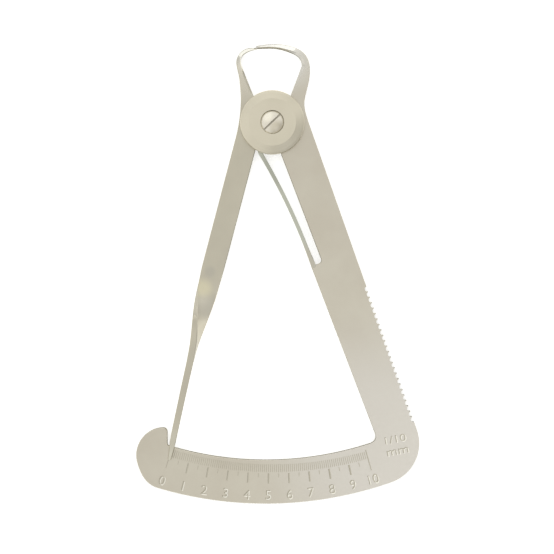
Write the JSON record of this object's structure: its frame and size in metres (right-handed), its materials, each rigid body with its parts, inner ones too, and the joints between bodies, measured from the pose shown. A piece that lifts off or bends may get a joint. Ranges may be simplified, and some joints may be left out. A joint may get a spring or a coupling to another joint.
{
  "type": "dental thickness caliper",
  "caption": "Spring-closed thickness caliper of stamped steel sheet: two hooked jaws on one pivot, squeezing the arms opens the jaws and moves a pointer along a curved scale.",
  "frame": {"origin": "on the pivot axis, in the plane of the back faces that the tool lies on", "axes": "+Y towards the jaws, +X towards the arm with the grip edge, +Z out of the front with the scale"},
  "size_m": [0.064, 0.1039, 0.0039],
  "materials": {
    "frame_arm": "vibratory-finished stainless sheet, satin",
    "leaf_spring": "vibratory-finished stainless sheet, satin",
    "pointer_arm": "vibratory-finished stainless sheet, satin, twisted and ground",
    "pivot_cap": "turned stainless, satin",
    "pivot_screw": "turned stainless, fine satin",
    "pivot_bush": "turned stainless, plain",
    "spring_washer": "rolled spring steel, plain"
  },
  "bodies": {
    "frame": {"frame_arm": "frame_arm", "pivot_bush": "pivot_bush", "pivot_cap": "pivot_cap", "pivot_screw": "pivot_screw", "spring_washer": "spring_washer"},
    "pointer": {"pointer_arm": "pointer_arm"},
    "leaf": {"leaf_spring": "leaf_spring"}
  },
  "joints": [
    {"name": "pointer_swing", "type": "hinge", "parent": "frame", "child": "pointer", "pos_m": [0, 0, 0], "axis": [0, 0, 1], "range_deg": [0, 33], "stiffness_Nm_per_rad": 0.03, "springref_deg": -28.65},
    {"name": "leaf_flex", "type": "hinge", "parent": "frame", "child": "leaf", "pos_m": [0.00929, -0.03231, 0], "axis": [0, 0, 1], "range_deg": [-6.6, 0]}
  ],
  "couplings": [
    {"joint": "leaf_flex", "follows": "pointer_swing", "ratio": -0.2}
  ]
}
